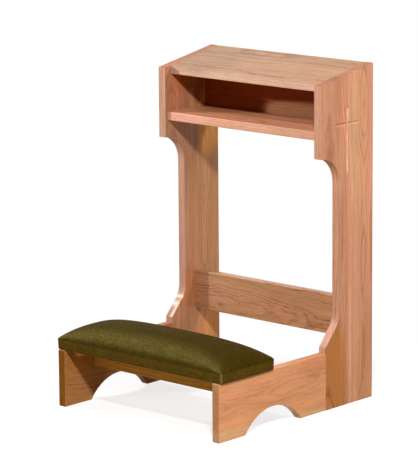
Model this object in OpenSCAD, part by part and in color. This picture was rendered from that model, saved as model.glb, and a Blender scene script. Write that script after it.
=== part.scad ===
/* [Overall] */
// Outside width across the two side panels
overall_w = 533; // [460:1:640]
// Depth from the front of the feet to the back of the uprights
overall_d = 572; // [530:1:660]
// Height of the desk's back edge above the floor
rear_h = 842; // [800:1:920]
// Fall of the desk towards the kneeling person, in degrees
desk_slope = 10.5; // [4:0.5:14]
// Thickness of the side panels
side_t = 22; // [18:0.5:26]
// Thickness of the boards that run between the sides
board_t = 22; // [18:0.5:26]

/* [Side uprights] */
// Depth of the wide head of each upright
header_d = 198; // [175:1:230]
// Distance from the book shelf's upper face down to the head's lower lip
lip_drop = 65.5; // [50:0.5:85]
// Flat part of the lip in front of the cove
lip_flat = 2; // [1:0.5:6]
// Width of the upright between the cove and the flare
upright_w = 129; // [110:1:145]
// Height of the nose where the upright meets the foot board
nose_h = 158; // [150:1:175]
// Radius that blends the upright's front edge into the flare
flare_r = 60; // [45:1:75]
// Slope of the flare, in degrees
flare_slope = 48.5; // [44:0.5:54]

/* [Foot boards] */
// Length of the foot board in front of the upright
foot_l = 392; // [360:1:410]
// Height of the foot board
foot_h = 143.5; // [130:0.5:148]
// Width of the arch at the floor
arch_w = 203.5; // [160:0.5:230]
// Rise of the arch above the floor
arch_h = 52; // [35:1:65]

/* [Desk and book compartment] */
// Distance from the head's front edge back to the desk's front edge
desk_inset = 21; // [10:1:30]
// Distance from the head's front edge back to the book shelf's front edge
shelf_inset = 8; // [4:1:20]
// Clear height of the book compartment at the desk's front edge
compartment_h = 94.3; // [75:0.1:120]
// Distance from the upright's back edge to the compartment's back board
back_inset = 26; // [10:1:40]

/* [Back stretcher and kneeler rail] */
// Height of the stretcher board
stretcher_w = 101; // [80:1:120]
// Height of the stretcher's lower edge above the floor
stretcher_h = 167.5; // [150:0.5:220]
// Distance from the upright's front edge back to the stretcher
stretcher_inset = 37; // [20:1:60]
// Distance from the front of the feet back to the kneeler rail
rail_inset = 105; // [95:1:115]
// Height of the rail's lower edge above the floor
rail_h = 85.5; // [75:0.5:92]

/* [Engraved cross] */
// Length of the cross's upright groove
cross_h = 157; // [110:1:170]
// Length of the cross's arm groove
cross_w = 87; // [60:1:110]
// Distance from the top of the cross down to its arm
cross_arm_drop = 38; // [28:1:50]
// Distance from the head's front top corner down to the arm
cross_drop = 102; // [85:1:115]
// Width of the V groove at the surface
groove_w = 8; // [5:0.5:10]
// Depth of the V groove
groove_d = 3.5; // [2:0.5:5]

/* [Kneeling pad] */
// Overhang of the pad beyond each side panel
pad_overhang = 7.5; // [0.5:0.5:10]
// Depth of the pad from front to back
pad_d = 196.5; // [180:0.5:220]
// Distance from the front of the feet back to the pad
pad_inset = 0.5; // [0:0.5:14]
// Corner radius of the pad
pad_corner_r = 9; // [8:1:18]
// Rise of the crown above the pad's edge
crown_h = 46.5; // [30:0.5:70]
// Foam left at the pad's edge
pad_edge_h = 12.5; // [2:0.5:16]
// Thickness of the cover fabric
cover_t = 1.5; // [1:0.1:2]
// Width of the cover's turned-under border
turn_under = 25; // [22:1:30]
// How far the long sides draw in between the corners
side_draw = 2.5; // [0:0.5:6]
// How far the two ends draw in between the corners
end_draw = 1.5; // [0:0.5:3]
// Radius of the pad's lower edge
pad_edge_r = 4; // [3:0.5:6]
// Thickness of the plywood base
pad_board_t = 12; // [9:0.5:15]
// Distance from the pad's outside to the plywood base
pad_board_inset = 4; // [3:0.5:6]

/* [Cleats and fasteners] */
// Width and height of the pad cleats
cleat_w = 19; // [16:0.5:22]
// Distance from the pad's edge to the cleat's end
cleat_end_gap = 27; // [26:1:36]
// Diameter of the dowels
dowel_d = 8; // [6:0.5:10]
// Length of the dowels
dowel_l = 36; // [30:1:44]
// Diameter of the screws
screw_d = 4; // [3.5:0.5:5]
// Diameter of the screw heads
screw_head_d = 8; // [7:0.5:9]

/* [Hidden] */

oak = [0.80, 0.56, 0.42];
oak_light = [0.84, 0.64, 0.50];
birch_ply = [0.83, 0.72, 0.54];
beech = [0.86, 0.74, 0.58];
olive_cloth = [0.33, 0.29, 0.12];
foam_cream = [0.88, 0.84, 0.68];
zinc_steel = [0.70, 0.70, 0.72];

curve_faces = 72;
cut_over = 1;
dowel_clear = 0.1;
dowel_end_clear = 0.5;
dowel_chamfer = 1;
screw_clear = 0.05;
notch_clear = 0.3;
foam_clear = 0.2;

// Shares of a panel's thickness that a fastener reaches into it
side_bite_share = 0.6;
ply_bite_share = 0.75;
// Places of fasteners along the board that they join
three_dowel_shares = [0.15, 0.5, 0.85];
two_dowel_shares = [0.27, 0.73];
foot_dowel_shares = [0.2, 0.5, 0.8];
cleat_screw_shares = [0.15, 0.85];
pad_screw_shares = [0.3, 0.77];

// Distances from the front of the feet, and heights from the floor
header_y = overall_d - header_d;
upright_y = overall_d - upright_w;
cove_r = header_d - upright_w - lip_flat;
desk_y = header_y + desk_inset;
shelf_y = header_y + shelf_inset;
back_y = overall_d - back_inset - board_t;
stretcher_y = upright_y + stretcher_inset;
shelf_d = overall_d - back_inset - shelf_y;
front_h = desk_surface(header_y);
desk_drop = board_t / cos(desk_slope);
shelf_h = desk_surface(desk_y) - desk_drop - compartment_h;
lip_h = shelf_h - lip_drop;
inner_w = overall_w - 2 * side_t;
arch_r = (arch_w * arch_w / 4 + arch_h * arch_h) / (2 * arch_h);
side_bite = side_t * side_bite_share;
cross_z = front_h - cross_drop;

// Centre of the flare's arc, and the point where it runs into the slope
flare_y = upright_y - flare_r;
flare_z = nose_h + (flare_r + (flare_y - foot_l) * sin(flare_slope)) / cos(flare_slope);
flare_end = [flare_y + flare_r * sin(flare_slope), flare_z - flare_r * cos(flare_slope)];

pad_half_l = overall_w / 2 + pad_overhang;
pad_half_d = pad_d / 2;
pad_wall_h = cover_t + pad_board_t + pad_edge_h;
board_under = foot_h + cover_t;
cleat_y = pad_inset + cleat_end_gap;
cleat_l = pad_d - 2 * cleat_end_gap;
cleat_under = board_under - cleat_w;
pad_screw_l = cleat_w + pad_board_t * ply_bite_share;
cleat_screw_l = cleat_w + side_bite;
screw_head_h = (screw_head_d - screw_d) / 2;

// Form of the crown: how it falls to the long sides and to the ends
crown_side_power = 2.5;
crown_fall_power = 0.53;
end_drop_share = 0.43;
end_power = 2.9;
shoulder_power = 10;
crown_ring_shares = [0.995, 0.984, 0.963, 0.925, 0.86, 0.76, 0.63, 0.48, 0.32, 0.16];
corner_steps = 3;
long_steps = 12;
short_steps = 6;

$fn = curve_faces;

function desk_surface(y) = rear_h - (overall_d - y) * tan(desk_slope);

// Moves a piece that is drawn from the front of the feet to the part's own middle
module from_feet() {
    translate([0, -overall_d / 2, 0]) children();
}

// Extrudes a side view, drawn as depth and height, along the width
module side_view(w) {
    rotate([90, 0, 90]) linear_extrude(height = w) children();
}

// Places a left-hand piece that is drawn from the outer face of its side
module on_left() {
    from_feet() translate([-overall_w / 2, 0, 0]) children();
}

module on_right() {
    mirror([1, 0, 0]) on_left() children();
}

// Solid dowel along X, centred on its length, with chamfered ends
module dowel() {
    rotate([0, 90, 0]) translate([0, 0, -dowel_l / 2]) rotate_extrude() polygon([
        [0, 0],
        [dowel_d / 2 - dowel_chamfer, 0],
        [dowel_d / 2, dowel_chamfer],
        [dowel_d / 2, dowel_l - dowel_chamfer],
        [dowel_d / 2 - dowel_chamfer, dowel_l],
        [0, dowel_l]
    ]);
}

// Blind bore along X for a dowel that reaches the given depth on both sides of the face
module dowel_bore(reach) {
    bore_l = 2 * (reach + dowel_end_clear);
    rotate([0, 90, 0]) cylinder(h = bore_l, d = dowel_d + 2 * dowel_clear, center = true);
}

// Countersunk screw with its head's face at the origin, pointing along +Z
module screw(length) {
    rotate_extrude() polygon([
        [0, 0],
        [screw_head_d / 2, 0],
        [screw_d / 2, screw_head_h],
        [screw_d / 2, length - screw_d / 2],
        [0, length]
    ]);
}

module screw_bore(length) {
    translate([0, 0, -cut_over]) cylinder(h = length + cut_over, d = screw_d + 2 * screw_clear);
    cylinder(h = screw_head_h, d1 = screw_head_d, d2 = screw_d);
}

// Depth and height of each dowel in a side panel's inner face
shelf_dowel_places = [for (s = three_dowel_shares) [shelf_y + shelf_d * s, shelf_h - board_t / 2]];
desk_dowel_places = [for (s = three_dowel_shares)
    let (y = desk_y + (overall_d - desk_y) * s) [y, desk_surface(y) - desk_drop / 2]];
back_dowel_places = [for (s = two_dowel_shares)
    let (y = back_y + board_t / 2, top = desk_surface(y) - desk_drop) [y, shelf_h + (top - shelf_h) * s]];
stretcher_dowel_places = [for (s = two_dowel_shares)
    [stretcher_y + board_t / 2, stretcher_h + stretcher_w * s]];
rail_dowel_places = [for (s = two_dowel_shares)
    [rail_inset + board_t / 2, rail_h + (cleat_under - rail_h) * s]];
foot_dowel_heights = [for (s = foot_dowel_shares) foot_h * s];
cleat_screw_places = [for (s = cleat_screw_shares) cleat_y + cleat_l * s];
pad_screw_places = [for (s = pad_screw_shares) cleat_y + cleat_l * s];

// Bores in a left-hand side panel, from its inner face
module side_bores(places) {
    for (p = places) translate([side_t, p[0], p[1]]) dowel_bore(side_bite);
}

// Bores in the two ends of a board between the sides
module end_bores(places) {
    for (p = places, side = [-1, 1])
        translate([side * inner_w / 2, p[0], p[1]]) dowel_bore(dowel_l - side_bite);
}

// Dowels that join a board to both sides
module end_dowels(places) {
    for (p = places, side = [-1, 1])
        translate([side * (inner_w / 2 + side_bite - dowel_l / 2), p[0], p[1]]) dowel();
}

module upright_outline() {
    difference() {
        polygon([
            [foot_l, 0],
            [overall_d, 0],
            [overall_d, rear_h],
            [header_y, front_h],
            [header_y, lip_h],
            [header_y + lip_flat, lip_h],
            [header_y + lip_flat, lip_h - cove_r],
            [upright_y, lip_h - cove_r],
            [upright_y, flare_z],
            [flare_y, flare_z],
            flare_end,
            [foot_l, nose_h]
        ]);
        translate([header_y + lip_flat, lip_h - cove_r]) circle(r = cove_r);
        translate([flare_y, flare_z]) circle(r = flare_r);
    }
}

// V groove cut from the face at X = 0, along Z from the origin, with the cutter's pointed ends
module v_groove(length) {
    mouth = groove_w / 2 * (groove_d + cut_over) / groove_d;
    linear_extrude(height = length) polygon([[-cut_over, -mouth], [groove_d, 0], [-cut_over, mouth]]);
    for (z = [0, length])
        translate([-cut_over, 0, z]) rotate([0, 90, 0]) cylinder(h = groove_d + cut_over, r1 = mouth, r2 = 0);
}

module cross_grooves() {
    middle_y = header_y + header_d / 2;
    translate([0, middle_y, cross_z + cross_arm_drop - cross_h]) v_groove(cross_h);
    translate([0, middle_y + cross_w / 2, cross_z]) rotate([90, 0, 0]) v_groove(cross_w);
}

// Bores for the butt joint between the foot board and the upright
module foot_joint_bores() {
    for (z = foot_dowel_heights)
        translate([side_t / 2, foot_l, z]) rotate([0, 0, 90]) dowel_bore(dowel_l / 2);
}

module upright() {
    difference() {
        side_view(side_t) upright_outline();
        side_bores(shelf_dowel_places);
        side_bores(desk_dowel_places);
        side_bores(back_dowel_places);
        side_bores(stretcher_dowel_places);
        foot_joint_bores();
        cross_grooves();
    }
}

module left_upright() {
    color(oak) on_left() upright();
}

module right_upright() {
    color(oak) on_right() upright();
}

module foot_outline() {
    difference() {
        square([foot_l, foot_h]);
        translate([foot_l / 2, arch_h - arch_r]) circle(r = arch_r);
    }
}

module foot_board() {
    difference() {
        side_view(side_t) foot_outline();
        side_bores(rail_dowel_places);
        foot_joint_bores();
        cleat_screw_bores();
    }
}

module left_foot_board() {
    color(oak) on_left() foot_board();
}

module right_foot_board() {
    color(oak) on_right() foot_board();
}

module desk_top() {
    color(oak_light) from_feet() difference() {
        translate([-inner_w / 2, 0, 0]) side_view(inner_w) polygon([
            [desk_y, desk_surface(desk_y)],
            [desk_y, desk_surface(desk_y) - desk_drop],
            [overall_d, rear_h - desk_drop],
            [overall_d, rear_h]
        ]);
        end_bores(desk_dowel_places);
    }
}

module book_shelf() {
    color(oak_light) from_feet() difference() {
        translate([-inner_w / 2, shelf_y, shelf_h - board_t]) cube([inner_w, shelf_d, board_t]);
        end_bores(shelf_dowel_places);
    }
}

// Board behind the books, with its upper edge cut to the desk's slope
module compartment_back() {
    color(oak) from_feet() difference() {
        translate([-inner_w / 2, 0, 0]) side_view(inner_w) polygon([
            [back_y, shelf_h],
            [back_y + board_t, shelf_h],
            [back_y + board_t, desk_surface(back_y + board_t) - desk_drop],
            [back_y, desk_surface(back_y) - desk_drop]
        ]);
        end_bores(back_dowel_places);
    }
}

module back_stretcher() {
    color(oak) from_feet() difference() {
        translate([-inner_w / 2, stretcher_y, stretcher_h]) cube([inner_w, board_t, stretcher_w]);
        end_bores(stretcher_dowel_places);
    }
}

// Rail under the pad, notched at both ends over the cleats
module kneeler_rail() {
    notch = cleat_w + notch_clear;
    color(oak) from_feet() difference() {
        translate([-inner_w / 2, rail_inset, rail_h]) cube([inner_w, board_t, board_under - rail_h]);
        for (side = [0, 1]) mirror([side, 0, 0])
            translate([inner_w / 2 - notch, rail_inset - cut_over, board_under - notch])
                cube([notch + cut_over, board_t + 2 * cut_over, notch + cut_over]);
        end_bores(rail_dowel_places);
    }
}

// Places what runs through a left-hand cleat into its side panel
module through_cleat() {
    for (y = cleat_screw_places)
        translate([side_t + cleat_w, y, cleat_under + cleat_w / 2]) rotate([0, -90, 0]) children();
}

// Places what runs up through a left-hand cleat into the plywood base
module up_through_cleat() {
    for (y = pad_screw_places)
        translate([side_t + cleat_w / 2, y, cleat_under]) children();
}

module cleat_screw_bores() {
    through_cleat() screw_bore(cleat_screw_l);
}

module pad_screw_bores() {
    up_through_cleat() screw_bore(pad_screw_l);
}

module cleat() {
    difference() {
        translate([side_t, cleat_y, cleat_under]) cube([cleat_w, cleat_l, cleat_w]);
        cleat_screw_bores();
        pad_screw_bores();
    }
}

module left_cleat() {
    color(oak) on_left() cleat();
}

module right_cleat() {
    color(oak) on_right() cleat();
}

// Puts a pad piece, drawn around its own middle from the foot boards' top, in its place
module on_feet() {
    from_feet() translate([0, pad_inset + pad_half_d, foot_h]) children();
}

// One quarter turn of the pad's outline round a corner's centre
function corner_points(x, y, r, start) = [for (i = [0 : corner_steps - 1])
    [x + r * cos(start + 90 * i / corner_steps), y + r * sin(start + 90 * i / corner_steps)]];

// Points along one side, drawn in most at its middle
function side_points(from, to, inward, steps) = [for (i = [0 : steps - 1])
    let (t = i / steps, bow = 1 - pow(2 * t - 1, 2)) from + (to - from) * t + inward * bow];

// Outline of the pad, inset all round, with its sides drawn in
function pad_outline(inset, long_draw, short_draw) =
    let (x = pad_half_l - inset, y = pad_half_d - inset, r = pad_corner_r - inset)
    concat(
        side_points([x, r - y], [x, y - r], [-short_draw, 0], short_steps),
        corner_points(x - r, y - r, r, 0),
        side_points([x - r, y], [r - x, y], [0, -long_draw], long_steps),
        corner_points(r - x, y - r, r, 90),
        side_points([-x, y - r], [-x, r - y], [short_draw, 0], short_steps),
        corner_points(r - x, r - y, r, 180),
        side_points([r - x, -y], [x - r, -y], [0, long_draw], long_steps),
        corner_points(x - r, r - y, r, 270)
    );

// Swell of the crown, 1 in the middle and 0 along the whole edge
function swell(u, v) =
    pow(max(0, 1 - pow(abs(v), crown_side_power)), crown_fall_power)
    * (1 - end_drop_share * pow(abs(u), end_power))
    * sqrt(max(0, 1 - pow(abs(u), shoulder_power)));

function level_ring(inset, z) = [for (p = pad_outline(inset, 0, 0)) [p[0], p[1], z]];

// Ring on the crown, scaled towards the middle
function crown_ring(inset, share, z) =
    let (plain = pad_outline(inset, 0, 0), drawn = pad_outline(inset, side_draw, end_draw))
    [for (i = [0 : len(plain) - 1])
        let (u = share * plain[i][0] / (pad_half_l - inset), v = share * plain[i][1] / (pad_half_d - inset))
        [drawn[i][0] * share, drawn[i][1] * share, z + crown_h * swell(u, v)]];

function flat_points(rings) = [for (ring = rings, p = ring) p];

// Triangles between the rings, and the fans that close both ends
function ring_faces(rings, n) = concat(
    [for (k = [0 : rings - 2], i = [0 : n - 1]) [k * n + i, (k + 1) * n + i, k * n + (i + 1) % n]],
    [for (k = [0 : rings - 2], i = [0 : n - 1])
        [k * n + (i + 1) % n, (k + 1) * n + i, (k + 1) * n + (i + 1) % n]],
    [for (i = [0 : n - 1]) [rings * n, i, (i + 1) % n]],
    [for (i = [0 : n - 1]) [rings * n + 1, (rings - 1) * n + (i + 1) % n, (rings - 1) * n + i]]
);

// Closed cushion from its lower rings up to the middle of its crown
module crowned_cushion(low_rings, inset, wall_z) {
    rings = concat(
        low_rings,
        [crown_ring(inset, 1, wall_z)],
        [for (share = crown_ring_shares) crown_ring(inset, share, wall_z)]
    );
    points = concat(flat_points(rings), [[0, 0, low_rings[0][0][2]], [0, 0, wall_z + crown_h]]);
    polyhedron(points = points, faces = ring_faces(len(rings), len(rings[0])));
}

// Foam's form above the plywood, inside the cover
module foam_form(inset) {
    crowned_cushion([level_ring(inset, cover_t + pad_board_t)], inset, pad_wall_h - inset);
}

// Plywood's form, grown by the given clearance
module ply_form(grow) {
    inset = pad_board_inset - grow;
    r = pad_corner_r - pad_board_inset;
    x = pad_half_l - inset;
    y = pad_half_d - inset;
    translate([0, 0, cover_t]) linear_extrude(height = pad_board_t) union() {
        square([2 * (x - r), 2 * y], center = true);
        square([2 * x, 2 * (y - r)], center = true);
        for (sx = [-1, 1], sy = [-1, 1]) translate([sx * (x - r), sy * (y - r)]) circle(r = r);
    }
}

module pad_board() {
    color(birch_ply) difference() {
        on_feet() ply_form(0);
        on_left() pad_screw_bores();
        on_right() pad_screw_bores();
    }
}

module pad_foam() {
    color(foam_cream) on_feet() foam_form(cover_t + foam_clear);
}

module pad_cover() {
    opening = [2 * (pad_half_l - turn_under), 2 * (pad_half_d - turn_under), cover_t + 2 * cut_over];
    color(olive_cloth) on_feet() difference() {
        crowned_cushion([level_ring(pad_edge_r / 2, 0), level_ring(0, pad_edge_r)], 0, pad_wall_h);
        foam_form(cover_t);
        ply_form(foam_clear);
        translate([0, 0, cover_t / 2]) cube(opening, center = true);
    }
}

module pad_screws() {
    color(zinc_steel) {
        on_left() up_through_cleat() screw(pad_screw_l);
        on_right() up_through_cleat() screw(pad_screw_l);
    }
}

module cleat_screws() {
    color(zinc_steel) {
        on_left() through_cleat() screw(cleat_screw_l);
        on_right() through_cleat() screw(cleat_screw_l);
    }
}

module foot_joint_dowels() {
    color(beech) from_feet() for (z = foot_dowel_heights, side = [-1, 1])
        translate([side * (overall_w - side_t) / 2, foot_l, z]) rotate([0, 0, 90]) dowel();
}

module stretcher_dowels() {
    color(beech) from_feet() end_dowels(stretcher_dowel_places);
}

module rail_dowels() {
    color(beech) from_feet() end_dowels(rail_dowel_places);
}

module shelf_dowels() {
    color(beech) from_feet() end_dowels(shelf_dowel_places);
}

module desk_dowels() {
    color(beech) from_feet() end_dowels(desk_dowel_places);
}

module back_dowels() {
    color(beech) from_feet() end_dowels(back_dowel_places);
}

left_upright();
right_upright();
left_foot_board();
right_foot_board();
desk_top();
book_shelf();
compartment_back();
back_stretcher();
kneeler_rail();
left_cleat();
right_cleat();
pad_board();
pad_foam();
pad_cover();
pad_screws();
cleat_screws();
foot_joint_dowels();
stretcher_dowels();
rail_dowels();
shelf_dowels();
desk_dowels();
back_dowels();
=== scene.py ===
# Prayer kneeler with a sloping book desk: red oak boards and an upholstered kneeling pad
import math
import random

import bmesh
import bpy
from mathutils import Matrix, Vector


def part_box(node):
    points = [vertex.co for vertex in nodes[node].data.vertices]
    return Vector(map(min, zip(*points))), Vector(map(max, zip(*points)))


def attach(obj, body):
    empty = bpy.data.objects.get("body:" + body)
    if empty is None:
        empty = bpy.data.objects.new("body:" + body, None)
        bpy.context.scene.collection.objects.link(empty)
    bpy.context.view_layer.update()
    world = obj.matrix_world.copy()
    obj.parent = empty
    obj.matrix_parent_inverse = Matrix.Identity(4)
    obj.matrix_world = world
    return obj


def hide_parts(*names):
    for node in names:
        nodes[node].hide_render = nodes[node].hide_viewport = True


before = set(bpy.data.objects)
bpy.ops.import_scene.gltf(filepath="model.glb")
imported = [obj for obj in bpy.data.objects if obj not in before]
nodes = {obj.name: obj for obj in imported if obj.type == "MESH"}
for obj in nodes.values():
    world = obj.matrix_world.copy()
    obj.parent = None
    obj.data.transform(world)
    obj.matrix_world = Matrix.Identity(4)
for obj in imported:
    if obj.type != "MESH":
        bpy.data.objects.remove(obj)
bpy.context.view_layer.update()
scene = bpy.context.scene
mm = 0.001


# Shader building

class Flow:
    # a node's output that can be used in arithmetic
    def __init__(self, finish, socket):
        self.finish = finish
        self.socket = socket

    def math(self, operation, *others):
        values = dict(enumerate((self, *others)))
        return self.finish.node("Math", {"operation": operation}, values)

    def __add__(self, other):
        return self.math("ADD", other)

    def __sub__(self, other):
        return self.math("SUBTRACT", other)

    def __mul__(self, other):
        return self.math("MULTIPLY", other)

    def __truediv__(self, other):
        return self.math("DIVIDE", other)

    def __rsub__(self, other):
        return (self * -1) + other

    def __neg__(self):
        return self * -1

    __radd__ = __add__
    __rmul__ = __mul__

    def above(self, level):
        return self.math("GREATER_THAN", level)

    def rise(self, low, high):
        # 0 below low, 1 above high, smooth between
        return self.finish.node("MapRange", {"interpolation_type": "SMOOTHSTEP"},
                                {"Value": self, "From Min": low, "From Max": high})


class Finish:
    # a material with one main surface, and the nodes that feed it
    def __init__(self, name):
        self.material = bpy.data.materials.new(name)
        self.material.use_nodes = True
        self.tree = self.material.node_tree
        self.surface = self.tree.nodes["Principled BSDF"]
        self.output = self.tree.nodes["Material Output"]

    def node(self, kind, settings=None, inputs=None, output=0):
        made = self.tree.nodes.new("ShaderNode" + kind)
        for key, value in (settings or {}).items():
            setattr(made, key, value)
        for key, value in (inputs or {}).items():
            self.plug(made.inputs[key], value)
        return Flow(self, made.outputs[output])

    def plug(self, socket, value):
        if isinstance(value, Flow):
            self.tree.links.new(value.socket, socket)
        elif isinstance(value, (tuple, list)) and len(value) == 3 and socket.type == "RGBA":
            socket.default_value = (*value, 1)
        else:
            socket.default_value = value

    def set(self, **values):
        # socket names written as one word each, such as baseColor
        for key, value in values.items():
            name = "".join(" " + c if c.isupper() else c for c in key).title()
            self.plug(self.surface.inputs[name.replace("Ior", "IOR")], value)

    def axes(self):
        # the piece's own X, Y and Z as numbers
        split = self.node("SeparateXYZ", None, {0: self.node("TexCoord", None, None, "Object")})
        return [Flow(self, split.socket.node.outputs[i]) for i in range(3)]

    def vector(self, x, y, z):
        return self.node("CombineXYZ", None, {0: x, 1: y, 2: z})

    def noise(self, vector, scale=1.0, detail=2.0, roughness=0.5):
        inputs = {"Vector": vector, "Scale": scale, "Detail": detail, "Roughness": roughness}
        return self.node("TexNoise", None, inputs)

    def facing(self, axis):
        # 0 to 1: how squarely the surface looks along an axis
        normal = self.node("NewGeometry", None, None, "Normal")
        return self.node("SeparateXYZ", None, {0: normal}, axis).math("ABSOLUTE")

    def mix(self, factor, first, second, blend="MIX"):
        return self.node("Mix", {"data_type": "RGBA", "blend_type": blend}, {0: factor, 6: first, 7: second}, 2)

    def tint(self, colour, by, where=None):
        # multiplies a colour by another, wherever the mask lets it
        if where is not None:
            by = self.mix(where, (1, 1, 1), by)
        return self.mix(1.0, colour, by, "MULTIPLY")

    def tone(self, colour, value):
        # multiplies a colour by a plain number that varies over the surface
        return self.node("VectorMath", {"operation": "SCALE"}, {0: colour, "Scale": value})

    def bump(self, height, distance, strength):
        return self.node("Bump", None, {"Height": height, "Distance": distance, "Strength": strength})


def fromScreen(r, g, b):
    # colour as seen on a screen, 0 to 255, to the shader's own scale
    return tuple((c / 255 / 12.92) if c <= 10 else ((c / 255 + 0.055) / 1.055) ** 2.4 for c in (r, g, b))


# Oak

oakLook = {
    "pinkWood": fromScreen(212, 148, 115),  # smooth wood between the pore rows, two hues
    "tanWood": fromScreen(209, 151, 110),
    "early": fromScreen(176, 112, 74),      # open pores at the start of each year
    "pore": fromScreen(118, 68, 38),
    "ray": fromScreen(190, 120, 84),
    "cut": (1.22, 1.42, 1.50),              # multiplies the colour where a groove is carved
    "glueLine": 0.22,                       # how much darker the line between two staves is
    "poreLength": 14 * mm,
    "poreWidth": 0.5 * mm,
    # how much each kind of streak and cloud darkens or lightens the wood
    "streak": 0.24, "stripe": 0.36, "dash": 0.44, "cloud": 0.40, "year": 0.22,
    "coat": 0.16,
    "coatRoughness": 0.24,
}


def oak(name, run, across, staves, washes=(), figure=0.8, jag=1.0, gloss=1.0, edge=(1, 1, 1),
        end=(0.84, 0.84, 0.84), carved=None):
    # run and across are the board's own axes: 0, 1 or 2 for X, Y or Z
    # figure is how strongly the years show, jag how ragged they run
    # edge and end tint the narrow edges and the end grain, and carved is the long groove's middle and half size
    look = oakLook
    f = Finish(name)
    axis = f.axes()
    along, wide = axis[run], axis[across]
    deep = axis[3 - run - across]

    def perStave(key):
        # steps from one stave's value to the next at each glue line
        value = staves[0][key]
        for before, after in zip(staves, staves[1:]):
            if after[key] != before[key]:
                value = wide.above(before["end"]) * (after[key] - before[key]) + value
        return value

    seed = perStave("seed")
    drift = f.noise(f.vector(along * 2.4 + seed, wide * 3.0, deep * 3.0), detail=1.0) - 0.5
    ripple = f.noise(f.vector(along * 16 + seed, wide * 42, deep * 42), detail=2.0, roughness=0.6) - 0.5
    fray = f.noise(f.vector(along * 60 + seed, wide * 320, deep * 320), detail=1.0) - 0.5
    sideways = (wide - perStave("pithAcross")) + drift * 0.02
    inward = deep - perStave("pithDeep")
    radius = (sideways * sideways + inward * inward).math("SQRT")
    path = radius + along * perStave("lean") + drift * perStave("sway")
    # wide and narrow years come in groups
    group = f.noise(f.vector(path * 32 + seed, 0.5, 0.5), detail=1.0) - 0.5
    years = (path + group * 16 * mm + ripple * (jag * 4.5 * mm) + fray * (jag * 1.4 * mm)) / perStave("ring")
    year = years.math("FLOOR")
    phase = years.math("FRACT")
    strength = f.noise(f.vector(year * 3.7 + seed, 0.5, 0.5), detail=0.0).rise(0.38, 0.66) * 0.8 + 0.2
    toneOfYear = f.noise(f.vector(year * 5.3 + seed, 7.5, 0.5), detail=0.0) - 0.5

    # pores crowd at the start of a year, then the wood closes up
    early = (1 - phase.rise(0.08, 0.50)) * phase.rise(0.0, 0.06)
    patchy = f.noise(f.vector(along * 9 + seed, wide * 50, deep * 50), detail=1.0).rise(0.2, 0.7) * 0.6 + 0.4
    openness = early * patchy * strength
    cell = f.vector(along / look["poreLength"] + seed, wide / look["poreWidth"], deep / look["poreWidth"])
    pores = f.noise(cell, scale=0.8, detail=1.0).rise(0.58, 0.74) * (early * 0.75 + 0.25)
    turn = sideways.math("ARCTAN2", inward)
    rays = f.noise(f.vector(turn * 420, along * 90, radius * 60), detail=0.0).rise(0.68, 0.8)
    streak = f.noise(f.vector(along * 4.5 + seed, wide * 150, deep * 150), detail=3.0, roughness=0.65)
    band = f.noise(f.vector(along * 1.6 + seed, wide * 28, deep * 28), detail=2.0)
    cloudy = f.noise(f.vector(along * 3.4 + seed, wide * 11, deep * 11), detail=2.0)
    stripe = f.noise(f.vector(along * 5.5 + seed, wide * 62, deep * 62), detail=2.0, roughness=0.6)

    colour = f.mix(band.rise(0.36, 0.64), look["pinkWood"], look["tanWood"])
    colour = f.mix(openness * figure, colour, look["early"])
    colour = f.mix(rays * 0.3, colour, look["ray"])
    colour = f.mix(pores * 0.5, colour, look["pore"])
    tint = staves[0]["tint"]
    for before, after in zip(staves, staves[1:]):
        tint = f.mix(wide.above(before["end"]), tint, after["tint"])
    colour = f.tint(colour, tint)

    # a wash is a soft oval of paler, darker or warmer colour, with its centre and reach along and across the board;
    # some washes are the wood's own colour, others are painted light or painted shade
    # side limits it across the board, deep through the board, and broad keeps it off the edges
    for wash in washes:
        mask = None
        for place, centre, reach in zip((along, wide), wash["centre"], wash["reach"]):
            off = (place - centre) / reach
            mask = off * off if mask is None else mask + off * off
        soft = 1 - (mask + (band - 0.5) * wash.get("ragged", 0.9)).rise(*wash.get("edge", (0.2, 1.0)))
        if "side" in wash:
            soft = soft * wide.above(wash["side"][0]) * (1 - wide.above(wash["side"][1]))
        if "deep" in wash:
            soft = soft * deep.rise(*wash["deep"])
        if "broad" in wash:
            soft = soft * f.facing(3 - run - across).rise(0.4, 0.9)
        colour = f.tint(colour, wash["tint"], soft * wash["strength"])
    dash = f.noise(f.vector(along * 30 + seed, wide * 260, deep * 260), detail=2.0, roughness=0.6)
    value = (streak - 0.5) * look["streak"] + (stripe - 0.5) * look["stripe"] + (dash - 0.5) * look["dash"]
    value = value + (cloudy - 0.5) * look["cloud"] + toneOfYear * look["year"] + 1.0
    colour = f.tone(colour, value)
    for before in staves[:-1]:
        line = 1 - ((wide - before["end"]).math("ABSOLUTE")).rise(0.2 * mm, 0.7 * mm)
        colour = f.tone(colour, 1 - line * look["glueLine"])

    # end grain drinks more finish and goes darker
    endGrain = f.facing(run).rise(0.55, 0.95)
    colour = f.tint(colour, end, endGrain)
    # narrow edges tinted paler and whiter: painted sheen where the front edges catch the lamps
    colour = f.tint(colour, edge, f.facing(across).rise(0.55, 0.95))
    if carved:
        # the long groove is tinted paler than the face
        (alongMiddle, wideMiddle), (alongReach, wideReach) = carved
        groove = (1 - ((along - alongMiddle).math("ABSOLUTE") / alongReach).rise(0.97, 1.0)) * (
            1 - ((wide - wideMiddle).math("ABSOLUTE") / wideReach).rise(0.80, 0.98))
        colour = f.tint(colour, look["cut"], groove)

    f.set(baseColor=colour, roughness=(pores * 0.2 + openness * 0.1 + endGrain * 0.2 + 0.40))
    f.set(specularIorLevel=0.3 * gloss, coatRoughness=look["coatRoughness"])
    f.set(coatWeight=(1 - endGrain * 0.9) * (look["coat"] * gloss))
    height = 1 - (pores * 0.8 + openness * 0.25 + rays * 0.1)
    f.set(normal=f.bump(height, 0.18 * mm, 0.6))
    return f.material


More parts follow.
